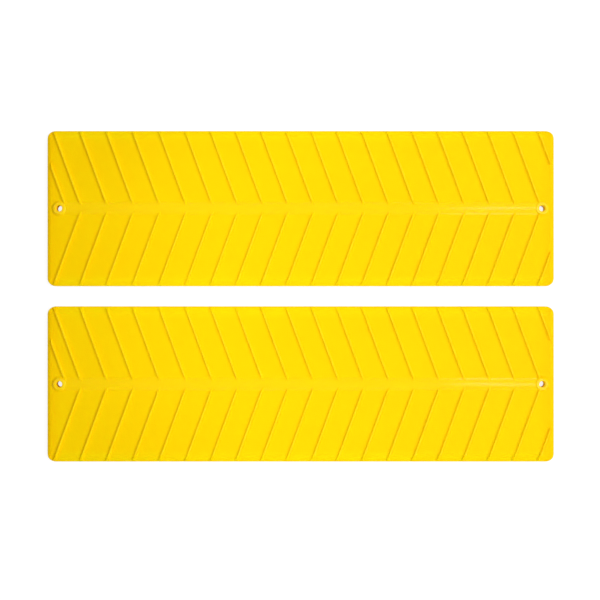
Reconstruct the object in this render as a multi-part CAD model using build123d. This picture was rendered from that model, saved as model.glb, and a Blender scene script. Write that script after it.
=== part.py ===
from build123d import *
import math
import os

# A pair of grip plates that are laid on soft ground in front of a vehicle's driven wheels.
# Each plate is one polyethylene moulding: a thin deck with a rolled rim, chevron tread ribs
# on top, and cleats, a keel and stringers underneath.
# Millimetres. X runs along the plates, and the chevrons point to +X. Y runs from the front
# plate to the rear one. Z is up from the ground, with the origin midway between the plates.

# Plate
plate_length = 750.0
plate_width = 230.0
plate_gap = 30.0  # bare ground between the two plates
corner_radius = 12.0
deck_top = 11.5  # upper face of the deck above the ground
skin = 3.0  # wall of the deck and of the skirt round it
skirt_lift = 2.0  # the skirt stops short of the ground, so that the cleats bite

# Rolled edges: the deck falls away in an arc and turns down into the skirt
side_roll = 12.0
side_drop = 3.0
end_roll = 6.0
end_drop = 2.0
nose_radius = 1.0

# Tread ribs
first_rib = 52.0  # heel end of the plate to the point of the first chevron
heel_pitch = 39.0  # the first chevrons stand a little wider apart than the rest
heel_gaps = 5
rib_pitch = 37.3
rib_sweep = 20.2  # degrees back from square across the plate
rib_height = 2.5
rib_crest = 2.0
rib_draft = 16.0
rib_end_inset = 1.5  # long edge to the end of a rib
rib_proud = 1.0  # height that its run-out would have left at the very edge
rib_full_height = 13.0  # centre line to where a rib stands at its full height
rib_dip = 1.9  # how far its crest sinks from there to the centre line, under the spine's surface
heel_rib_lead = 23.0  # short rib at the heel, this far before the first chevron

# Spine between the two end bosses
spine_width = 20.0
spine_height = 1.5

# Peg holes
hole_inset = 18.0  # plate's end to the hole's centre
hole_diameter = 9.0
hole_chamfer = 0.8
boss_diameter = 18.0
boss_foot = 23.5
boss_height = 2.5
boss_ease = 0.7

# Ground side
cleat_tip = 2.4
cleat_draft = 2.0
keel_width = 5.0
stringer_width = 2.4
stringer_offset = 57.0  # centre line to the stringer in each half

# Worked out from the sizes above
half_length = plate_length / 2
half_width = plate_width / 2
mid_skin = skin / 2  # how deep ribs, cleats and keel are rooted in the wall that carries them
overshoot = 1.0  # how far a rolled form is drawn past the outline that trims it
sweep_back = math.tan(math.radians(rib_sweep))
hole_places = [(-half_length + hole_inset, 0), (half_length - hole_inset, 0)]


def roll_radius(roll, drop):
    """Radius of the arc that leaves the level and has fallen by drop at the edge."""
    return (roll**2 + drop**2) / (2 * drop)


def rolled_section(half, roll, radius, top, base):
    """Closed section that is level on top and falls away in an arc over each edge."""
    reach = roll + overshoot
    end = (half + overshoot, top - radius + math.sqrt(radius**2 - reach**2))
    arc = TangentArc((half - roll, top), end, tangent=(1, 0))
    outline = Line((0, top), arc @ 0) + arc + Polyline(end, (half + overshoot, base), (0, base))
    return make_face(outline + mirror(outline, about=Plane.YZ))


def rolled_block(inset, base):
    """The plate's outer form, or the form that lies parallel inside it at a depth of inset."""
    top = deck_top - inset
    side_radius = roll_radius(side_roll, side_drop) - inset
    end_radius = roll_radius(end_roll, end_drop) - inset
    across = rolled_section(half_width - inset, side_roll - inset, side_radius, top, base)
    along = rolled_section(half_length - inset, end_roll - inset, end_radius, top, base)
    plan = RectangleRounded(plate_length - 2 * inset, plate_width - 2 * inset, corner_radius - inset)
    block = extrude(Plane.YZ * across, half_length + overshoot, both=True)
    block &= extrude(Plane.XZ * along, half_width + overshoot, both=True)
    return block & extrude(Plane.XY.offset(base) * plan, deck_top)


def outer_form():
    """The plate's outer form, with the edge between its rolled deck and its skirt rounded."""
    block = rolled_block(0, skirt_lift)
    nose = []
    for edge in block.edges():
        heights = [(edge @ 0).Z, (edge @ 1).Z]
        if min(heights) > skirt_lift + nose_radius and max(heights) < deck_top - nose_radius / 2:
            nose.append(edge)
    return fillet(nose, nose_radius)


def bar_section(tip, root, tip_width, draft):
    """Section of a drafted bar, from its narrow tip level to the level where it is rooted."""
    root_width = tip_width + 2 * abs(tip - root) * math.tan(math.radians(draft))
    return make_face(
        Polyline(
            (-root_width / 2, root),
            (root_width / 2, root),
            (tip_width / 2, tip),
            (-tip_width / 2, tip),
            close=True,
        )
    )


def chevron_points():
    """Where the chevrons' centre lines meet on the plate's middle, from heel to toe."""
    points = []
    point = -half_length + first_rib
    while point < half_length + half_width * sweep_back:
        points.append(point)
        point += heel_pitch if len(points) <= heel_gaps else rib_pitch
    return points


def chevron_arm(section, point):
    """One arm of a chevron, from its point on the centre line out past the +Y edge."""
    along = Vector(-sweep_back, 1, 0).normalized()
    start = Plane(origin=(point, 0, 0), x_dir=along.cross(Vector(0, 0, -1)), z_dir=along)
    return extrude(start * section, plate_width, dir=along)


def with_mirror(arms):
    """The arms in both halves of the plate."""
    return arms + [mirror(arm, about=Plane.XZ) for arm in arms]


def rib_limits():
    """Space that the tread ribs fill: it dips to the spine and rolls over the long edges."""
    crest = deck_top + rib_height
    root = deck_top - side_drop - mid_skin
    radius = roll_radius(side_roll, side_drop + rib_height - rib_proud)
    dip = Polyline((-rib_full_height, crest), (rib_full_height, crest), (0, crest - rib_dip), close=True)
    across = rolled_section(half_width, side_roll, radius, crest, root) - make_face(dip)
    plan = Rectangle(plate_length - 2 * end_roll, plate_width - 2 * rib_end_inset)
    return extrude(Plane.YZ * across, half_length, both=True) & extrude(plan, crest)


def tread_ribs(core):
    """Chevron ribs, and the one short rib that runs to the heel boss in the rear half."""
    section = bar_section(deck_top + rib_height, deck_top - side_drop - mid_skin, rib_crest, rib_draft)
    arms = [chevron_arm(section, point) for point in chevron_points()]
    heel_arm = chevron_arm(section, -half_length + first_rib - heel_rib_lead)
    return ((Part() + [*with_mirror(arms), heel_arm]) & rib_limits()) - core


def spine():
    """Low rounded bead along the middle, from one end boss to the other."""
    half = spine_width / 2
    outline = [
        Line((0, deck_top - mid_skin), (half, deck_top - mid_skin)),
        Line((half, deck_top - mid_skin), (half, deck_top)),
        ThreePointArc((half, deck_top), (0, deck_top + spine_height), (-half, deck_top)),
        Line((-half, deck_top), (-half, deck_top - mid_skin)),
        Line((-half, deck_top - mid_skin), (0, deck_top - mid_skin)),
    ]
    return extrude(Plane.YZ * make_face(outline), half_length - hole_inset, both=True)


def end_boss():
    """Boss with a sloped foot on the deck, and its column down to the ground."""
    crest = deck_top + boss_height
    root = deck_top - mid_skin
    radius = boss_diameter / 2
    outline = Polyline(
        (0, 0),
        (radius, 0),
        (radius, root),
        (boss_foot / 2, root),
        (boss_foot / 2, deck_top),
        (radius, crest - boss_ease),
        (radius - boss_ease, crest),
        (0, crest),
        close=True,
    )
    return revolve(Plane.XZ * make_face(outline), Axis.Z)


def peg_hole():
    """Through hole with a chamfered mouth, as a solid to cut away."""
    crest = deck_top + boss_height
    radius = hole_diameter / 2
    outline = Polyline(
        (0, 0),
        (radius, 0),
        (radius, crest - hole_chamfer),
        (radius + hole_chamfer, crest),
        (0, crest),
        close=True,
    )
    return revolve(Plane.XZ * make_face(outline), Axis.Z)


def ground_side(core):
    """Cleats under the chevrons, the keel, and the stringers that stop short of the ground."""
    root = deck_top - mid_skin
    section = bar_section(0, root, cleat_tip, cleat_draft)
    cleats = with_mirror([chevron_arm(section, point) for point in chevron_points()])
    keel = extrude(Rectangle(plate_length, keel_width), root)
    strip = Plane.XY.offset(skirt_lift) * Rectangle(plate_length, stringer_width)
    stringer = extrude(strip, root - skirt_lift)
    stringers = [Pos(0, side * stringer_offset, 0) * stringer for side in (-1, 1)]
    return (Part() + [*cleats, keel, *stringers]) & core


def grip_plate():
    """One whole plate, centred on the origin."""
    core = rolled_block(mid_skin, 0)
    plate = outer_form() - rolled_block(skin, 0)
    plate += ground_side(core)
    plate += tread_ribs(core)
    plate += spine()
    plate += [Pos(*place) * end_boss() for place in hole_places]
    return plate - [Pos(*place) * peg_hole() for place in hole_places]


plate = grip_plate()
offset_y = (plate_width + plate_gap) / 2
os.makedirs("parts", exist_ok=True)
for name, side in (("rear_plate", 1), ("front_plate", -1)):
    export_step(Pos(0, side * offset_y, 0) * plate, f"parts/{name}.step")
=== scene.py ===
import math
import bpy
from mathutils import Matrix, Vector


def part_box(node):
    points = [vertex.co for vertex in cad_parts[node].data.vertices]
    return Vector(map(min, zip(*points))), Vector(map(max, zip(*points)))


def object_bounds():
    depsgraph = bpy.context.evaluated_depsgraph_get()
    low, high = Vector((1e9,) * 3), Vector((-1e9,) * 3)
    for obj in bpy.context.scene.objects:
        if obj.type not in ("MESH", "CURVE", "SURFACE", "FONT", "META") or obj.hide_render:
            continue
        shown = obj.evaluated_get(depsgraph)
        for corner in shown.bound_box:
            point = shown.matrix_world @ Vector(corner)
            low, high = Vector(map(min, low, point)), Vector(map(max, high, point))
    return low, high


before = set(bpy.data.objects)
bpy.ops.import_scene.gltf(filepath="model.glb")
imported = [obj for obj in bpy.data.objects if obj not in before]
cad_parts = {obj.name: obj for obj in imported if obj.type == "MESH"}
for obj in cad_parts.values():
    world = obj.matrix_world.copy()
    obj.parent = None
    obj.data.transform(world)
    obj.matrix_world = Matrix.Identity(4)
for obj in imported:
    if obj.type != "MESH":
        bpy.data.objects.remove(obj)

cad_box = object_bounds()
scene = bpy.context.scene


# ---------------------------------------------------------------------------------------
# Grip plates
# Two like trays of polyethylene, each injection-moulded in one shot with its chevron ribs,
# spine and end bosses. The yellow pigment runs right through, so nothing is painted on.
# ---------------------------------------------------------------------------------------

plate_yellow = (1.0, 0.64, 0.0003, 1.0)
thin_yellow = (1.0, 0.68, 0.001, 1.0)  # where the melt ran thin and the pigment spread out
painted_highlight_yellow = (1.0, 0.685, 0.001, 1.0)  # painted highlight: lighter along the rolled long sides, standing in for the extra light there
painted_end_shade_yellow = (1.0, 0.61, 0.0003, 1.0)  # painted shade: darker at the two ends, where the end rolls get less light
rubbed_yellow = (1.0, 0.7, 0.02, 1.0)  # crests and scuffs that have lost their moulded skin

rear_low, rear_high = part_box("rear_plate")
rib_height = 0.0025
deck_level = rear_high.z - rib_height
half_length = (rear_high.x - rear_low.x) / 2
half_width = (rear_high.y - rear_low.y) / 2
spine_reach = 0.0095  # middle line to where the spine's smooth skin ends


def new_group(name, inputs, outputs):
    """Empty shader node group with number inputs, given as name: value, and named outputs."""
    group = bpy.data.node_groups.new(name, "ShaderNodeTree")
    for label, value in inputs.items():
        socket = group.interface.new_socket(label, in_out="INPUT", socket_type="NodeSocketFloat")
        socket.default_value = value
    for label in outputs:
        group.interface.new_socket(label, in_out="OUTPUT", socket_type="NodeSocketFloat")
    return group, group.nodes.new("NodeGroupInput"), group.nodes.new("NodeGroupOutput")


def math_node(tree, operation, first, second=0.0):
    """Math node whose two inputs are sockets or numbers."""
    node = tree.nodes.new("ShaderNodeMath")
    node.operation = operation
    for socket, value in zip(node.inputs, (first, second)):
        if isinstance(value, (int, float)):
            socket.default_value = value
        else:
            tree.links.new(value, socket)
    return node.outputs["Value"]


def own_axes(tree):
    """The piece's own X, Y and Z in metres, as sockets."""
    place = tree.nodes.new("ShaderNodeTexCoord")
    axes = tree.nodes.new("ShaderNodeSeparateXYZ")
    tree.links.new(place.outputs["Object"], axes.inputs["Vector"])
    return axes.outputs


def stretched_noise(tree, seed, scale, detail, stretch=(1, 1, 1), roughness=0.5):
    """Noise over the piece's own metres; a stretch below 1 draws it out along that axis."""
    place = tree.nodes.new("ShaderNodeTexCoord")
    spread = tree.nodes.new("ShaderNodeMapping")
    spread.inputs["Scale"].default_value = stretch
    tree.links.new(place.outputs["Object"], spread.inputs["Vector"])
    noise = tree.nodes.new("ShaderNodeTexNoise")
    noise.noise_dimensions = "4D"
    noise.inputs["Scale"].default_value = scale
    noise.inputs["Detail"].default_value = detail
    noise.inputs["Roughness"].default_value = roughness
    tree.links.new(spread.outputs["Vector"], noise.inputs["Vector"])
    tree.links.new(seed, noise.inputs["W"])
    return noise.outputs["Fac"]


def remap(tree, value, low, high, to_low=0.0, to_high=1.0):
    """Smooth change of a value's range, held at both ends."""
    node = tree.nodes.new("ShaderNodeMapRange")
    node.interpolation_type = "SMOOTHSTEP"
    node.inputs["From Min"].default_value = low
    node.inputs["From Max"].default_value = high
    node.inputs["To Min"].default_value = to_low
    node.inputs["To Max"].default_value = to_high
    tree.links.new(value, node.inputs["Value"])
    return node.outputs["Result"]


def fade_out(tree, value, low, high):
    """Mask that is whole up to the low value and gone from the high one on."""
    return remap(tree, value, low, high, to_low=1.0, to_high=0.0)


def moulded_grain_group():
    """Spark-eroded grain of the mould's steel, a fine one over a coarse one, as a height."""
    group, given, result = new_group("moulded grain", {"Seed": 0.0}, ["Height"])
    fine = stretched_noise(group, given.outputs["Seed"], scale=1500, detail=3)
    coarse = stretched_noise(group, given.outputs["Seed"], scale=260, detail=2)
    group.links.new(math_node(group, "ADD", fine, coarse), result.inputs["Height"])
    return group


def melt_flow_group():
    """Broad cloudy streaks along the plate, where the melt flowed out from the gate."""
    group, given, result = new_group("melt flow", {"Seed": 0.0}, ["Cloud"])
    seed = given.outputs["Seed"]
    broad = stretched_noise(group, seed, scale=9, detail=4, stretch=(0.45, 1, 1), roughness=0.6)
    group.links.new(remap(group, broad, 0.3, 0.7), result.inputs["Cloud"])
    return group


def painted_light_at_edges_group():
    """Masks of the plate's rolled sides, for a painted highlight, and of its two ends, for
    painted shade.
    """
    given_values = {"Centre": 0.0, "Half Width": 0.1, "Half Length": 0.4}
    group, given, result = new_group("painted light at edges", given_values, ["Sides", "Painted End Shade"])
    axes = own_axes(group)
    aside = math_node(group, "SUBTRACT", axes["Y"], given.outputs["Centre"])
    aside = math_node(group, "ABSOLUTE", aside)
    from_side = math_node(group, "SUBTRACT", given.outputs["Half Width"], aside)
    # Painted highlight: the long sides' mask, whole within 7 mm of the edge and gone 20 mm in
    group.links.new(fade_out(group, from_side, 0.007, 0.02), result.inputs["Sides"])
    along = math_node(group, "ABSOLUTE", axes["X"])
    from_end = math_node(group, "SUBTRACT", given.outputs["Half Length"], along)
    # Painted shade: the ends' mask, whole within 4 mm of each end and gone 24 mm in
    group.links.new(fade_out(group, from_end, 0.004, 0.024), result.inputs["Painted End Shade"])
    return group


def crest_rub_group():
    """Mask of what touches other things first: the rib crests and boss tops."""
    given_values = {"Seed": 0.0, "From": 0.0, "To": 1.0}
    group, given, result = new_group("crest rub", given_values, ["Mask"])
    rise = math_node(group, "SUBTRACT", own_axes(group)["Z"], given.outputs["From"])
    span = math_node(group, "SUBTRACT", given.outputs["To"], given.outputs["From"])
    height = remap(group, math_node(group, "DIVIDE", rise, span), 0, 1)
    patches = stretched_noise(group, given.outputs["Seed"], scale=70, detail=5, roughness=0.7)
    worn = remap(group, patches, 0.35, 0.65, to_low=0.25, to_high=1.0)
    group.links.new(math_node(group, "MULTIPLY", height, worn), result.inputs["Mask"])
    return group


def handling_scuff_group():
    """Thin lengthways scuffs, from plates that are slid in and out of their bag."""
    group, given, result = new_group("handling scuffs", {"Seed": 0.0}, ["Mask"])
    seed = given.outputs["Seed"]
    long = (0.04, 1, 0.5)
    streaks = stretched_noise(group, seed, scale=420, detail=4, stretch=long, roughness=0.75)
    patches = stretched_noise(group, seed, scale=14, detail=2, stretch=(0.6, 1, 1))
    thin = remap(group, streaks, 0.6, 0.72)
    here_and_there = remap(group, patches, 0.45, 0.65)
    group.links.new(math_node(group, "MULTIPLY", thin, here_and_there), result.inputs["Mask"])
    return group


def polished_spine_group():
    """Mask of the bead along the plate's middle, which the mould leaves smooth and shiny."""
    given_values = {"Centre": 0.0, "Reach": 0.01, "Above": 0.0}
    group, given, result = new_group("polished spine", given_values, ["Mask"])
    axes = own_axes(group)
    aside = math_node(group, "SUBTRACT", axes["Y"], given.outputs["Centre"])
    aside = math_node(group, "ABSOLUTE", aside)
    share = math_node(group, "DIVIDE", aside, given.outputs["Reach"])
    rise = math_node(group, "SUBTRACT", axes["Z"], given.outputs["Above"])
    raised = remap(group, rise, 0.0, 0.0003)
    near = fade_out(group, share, 0.9, 1.0)
    group.links.new(math_node(group, "MULTIPLY", near, raised), result.inputs["Mask"])
    return group


grain = moulded_grain_group()
polish = polished_spine_group()
flow = melt_flow_group()
painted_edges = painted_light_at_edges_group()
rub = crest_rub_group()
scuff = handling_scuff_group()


def placed(tree, group, values):
    """The outputs of a group placed in a material, with its own values, as name: value."""
    node = tree.nodes.new("ShaderNodeGroup")
    node.node_tree = group
    for label, value in values.items():
        node.inputs[label].default_value = value
    return node.outputs


def blend_colour(tree, share, base, over):
    """Mix of two colours by a mask; each colour is a socket or a fixed colour."""
    mix = tree.nodes.new("ShaderNodeMix")
    mix.data_type = "RGBA"
    sockets = [s for s in mix.inputs if s.type == "RGBA"]
    for socket, colour in zip(sockets, (base, over)):
        if isinstance(colour, tuple):
            socket.default_value = colour
        else:
            tree.links.new(colour, socket)
    tree.links.new(share, mix.inputs["Factor"])
    return [s for s in mix.outputs if s.type == "RGBA"][0]


# How strongly each effect shows in the colour
cloud_share = 0.4
rub_share = 0.6
scuff_share = 0.3

# Roughness of the moulded skin, and what wear adds to it
plain_roughness = 0.5
cloudy_roughness = 0.58
rub_roughness = 0.12
scuff_roughness = 0.1

spine_gloss = 0.1
rubbed_from = 0.8  # share of a rib's height above which it is rubbed


def plate_plastic(name, seed, centre):
    """Yellow polyethylene for the plate whose middle line lies at Y = centre."""
    material = bpy.data.materials.new(name)
    material.use_nodes = True
    tree = material.node_tree
    shader = tree.nodes["Principled BSDF"]
    shader.inputs["IOR"].default_value = 1.5
    shader.inputs["Specular IOR Level"].default_value = 0.02
    shader.inputs["Coat Roughness"].default_value = 0.16
    shader.inputs["Subsurface Weight"].default_value = 0.6
    shader.inputs["Subsurface Radius"].default_value = (1.0, 0.8, 0.1)
    shader.inputs["Subsurface Scale"].default_value = 0.002

    cloud = placed(tree, flow, {"Seed": seed})["Cloud"]
    rub_start = deck_level + rubbed_from * rib_height
    crest = placed(tree, rub, {"Seed": seed, "From": rub_start, "To": rear_high.z})["Mask"]
    marks = placed(tree, scuff, {"Seed": seed})["Mask"]
    outline = {"Centre": centre, "Half Width": half_width, "Half Length": half_length}
    # Masks for the painted highlight along the sides and the painted shade at the ends
    painted_edge_masks = placed(tree, painted_edges, outline)

    cloud_mask = math_node(tree, "MULTIPLY", cloud, cloud_share)
    crest_mask = math_node(tree, "MULTIPLY", crest, rub_share)
    marks_mask = math_node(tree, "MULTIPLY", marks, scuff_share)
    colour = blend_colour(tree, cloud_mask, plate_yellow, thin_yellow)
    # Painted highlight along the rolled long sides
    colour = blend_colour(tree, painted_edge_masks["Sides"], colour, painted_highlight_yellow)
    # Painted shade at the two ends
    colour = blend_colour(tree, painted_edge_masks["Painted End Shade"], colour, painted_end_shade_yellow)
    colour = blend_colour(tree, crest_mask, colour, rubbed_yellow)
    colour = blend_colour(tree, marks_mask, colour, rubbed_yellow)
    tree.links.new(colour, shader.inputs["Base Color"])

    skin = remap(tree, cloud, 0, 1, plain_roughness, cloudy_roughness)
    skin = math_node(tree, "ADD", skin, math_node(tree, "MULTIPLY", crest, rub_roughness))
    skin = math_node(tree, "ADD", skin, math_node(tree, "MULTIPLY", marks, scuff_roughness))
    tree.links.new(skin, shader.inputs["Roughness"])
    bead = {"Centre": centre, "Reach": spine_reach, "Above": deck_level}
    spine = placed(tree, polish, bead)["Mask"]
    tree.links.new(math_node(tree, "MULTIPLY", spine, spine_gloss), shader.inputs["Coat Weight"])

    bump = tree.nodes.new("ShaderNodeBump")
    bump.inputs["Strength"].default_value = 0.5
    bump.inputs["Distance"].default_value = 0.0003
    tree.links.new(placed(tree, grain, {"Seed": seed})["Height"], bump.inputs["Height"])
    tree.links.new(bump.outputs["Normal"], shader.inputs["Normal"])
    return material


for node, seed in (("rear_plate", 3.0), ("front_plate", 8.0)):
    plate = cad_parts[node]
    low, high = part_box(node)
    plate.data.materials.clear()
    plate.data.materials.append(plate_plastic(node + " polyethylene", seed, (low.y + high.y) / 2))


# ---------------------------------------------------------------------------------------
# Studio
# A white sweep under soft lamps: the key stands low on the right, so every rib is lit on
# its toe side and throws a short soft shadow towards the heel. None of this is the object.
# ---------------------------------------------------------------------------------------

low, high = (Vector(corner) for corner in cad_box)
middle = (low + high) / 2
floor_size = 6
floor_gap = 0.0001  # keeps the floor from sharing a face with the tips of the cleats
paper_grey = (0.3, 0.3, 0.3, 1)
paper_glow = 0.82  # what lifts the paper to white where it is looked at
pure_white = (1, 1, 1, 1)
sky_light = 0.454


def for_the_eye(tree, lit, seen):
    """Strength that is lit for the light falling on things, and seen where it is looked at."""
    rays = tree.nodes.new("ShaderNodeLightPath").outputs
    direct = math_node(tree, "MAXIMUM", rays["Is Camera Ray"], rays["Is Transmission Ray"])
    looked_at = math_node(tree, "MAXIMUM", direct, rays["Is Glossy Ray"])
    return math_node(tree, "ADD", math_node(tree, "MULTIPLY", looked_at, seen - lit), lit)


floor_place = (middle.x, middle.y, low.z - floor_gap)
bpy.ops.mesh.primitive_plane_add(size=floor_size, location=floor_place)
floor = bpy.context.active_object
floor.name = "floor"
white = bpy.data.materials.new("white sweep")
white.use_nodes = True
nodes, links = white.node_tree.nodes, white.node_tree.links
paper = nodes["Principled BSDF"]
paper.inputs["Base Color"].default_value = paper_grey
paper.inputs["Roughness"].default_value = 0.9
paper.inputs["Specular IOR Level"].default_value = 0.0
glow = nodes.new("ShaderNodeEmission")
glow.inputs["Color"].default_value = pure_white
links.new(for_the_eye(white.node_tree, 0.0, paper_glow), glow.inputs["Strength"])
both = nodes.new("ShaderNodeAddShader")
links.new(paper.outputs["BSDF"], both.inputs[0])
links.new(glow.outputs["Emission"], both.inputs[1])
links.new(both.outputs["Shader"], nodes["Material Output"].inputs["Surface"])
floor.data.materials.append(white)


def new_lamp(kind, name, place, aim, power):
    """Lamp that looks from its place towards a point."""
    data = bpy.data.lights.new(name, kind)
    data.energy = power
    lamp = bpy.data.objects.new(name, data)
    lamp.location = place
    lamp.rotation_euler = (Vector(aim) - Vector(place)).to_track_quat("-Z", "Y").to_euler()
    scene.collection.objects.link(lamp)
    return lamp


def new_panel(name, place, aim, power, length, width):
    """Rectangular lamp that looks from its place towards a point."""
    lamp = new_lamp("AREA", name, place, aim, power)
    lamp.data.shape = "RECTANGLE"
    lamp.data.size, lamp.data.size_y = length, width
    return lamp


key = new_lamp("SUN", "key", place=(0.79, 0, 0.62), aim=(0, 0, 0), power=1.63)
key.data.angle = math.radians(28)

# A wide panel on each side, which softens the ribs' shadows
for name, side in (("rear fill", 1), ("front fill", -1)):
    place = (0.3, 1.15 * side, 1.4)
    new_panel(name, place, aim=(0.3, 0, 0), power=5.2, length=1.6, width=1.2)

# A small lamp over each plate, seen only as the streak on its spine near the toe
for name, side in (("rear streak", 1), ("front streak", -1)):
    place = (0.428, 0.191 * side, deck_level + 0.7)
    aim = (0.3, 0.13 * side, 0)
    streak = new_panel(name, place, aim, power=1.35, length=0.14, width=0.18)
    streak.visible_diffuse = False
    streak.visible_camera = False

# A soft-edged cone from the heel side, which leaves the heel itself a little darker
toe_fill = new_lamp("SPOT", "toe fill", place=(-1.0, 0, 1.9), aim=(0.4, 0, 0), power=43.5)
toe_fill.data.spot_size = math.radians(34)
toe_fill.data.spot_blend = 0.5
toe_fill.data.shadow_soft_size = 0.12

world = bpy.data.worlds.new("studio")
scene.world = world
world.use_nodes = True
sky = world.node_tree.nodes["Background"]
sky.inputs["Color"].default_value = pure_white
sky_strength = for_the_eye(world.node_tree, sky_light, 1.0)
world.node_tree.links.new(sky_strength, sky.inputs["Strength"])

camera_height = 1.5  # above the deck
frame_width = 0.8877  # how much is in view at the height of the deck
camera_shift = (-0.001, -0.0055)  # from straight over the middle of the pair
sensor_width = 36
camera_data = bpy.data.cameras.new("camera")
camera_data.sensor_width = sensor_width
camera_data.lens = sensor_width * camera_height / frame_width
camera = bpy.data.objects.new("camera", camera_data)
camera.location.x = middle.x + camera_shift[0]
camera.location.y = middle.y + camera_shift[1]
camera.location.z = deck_level + camera_height
scene.collection.objects.link(camera)
scene.camera = camera
scene.view_settings.view_transform = "Standard"
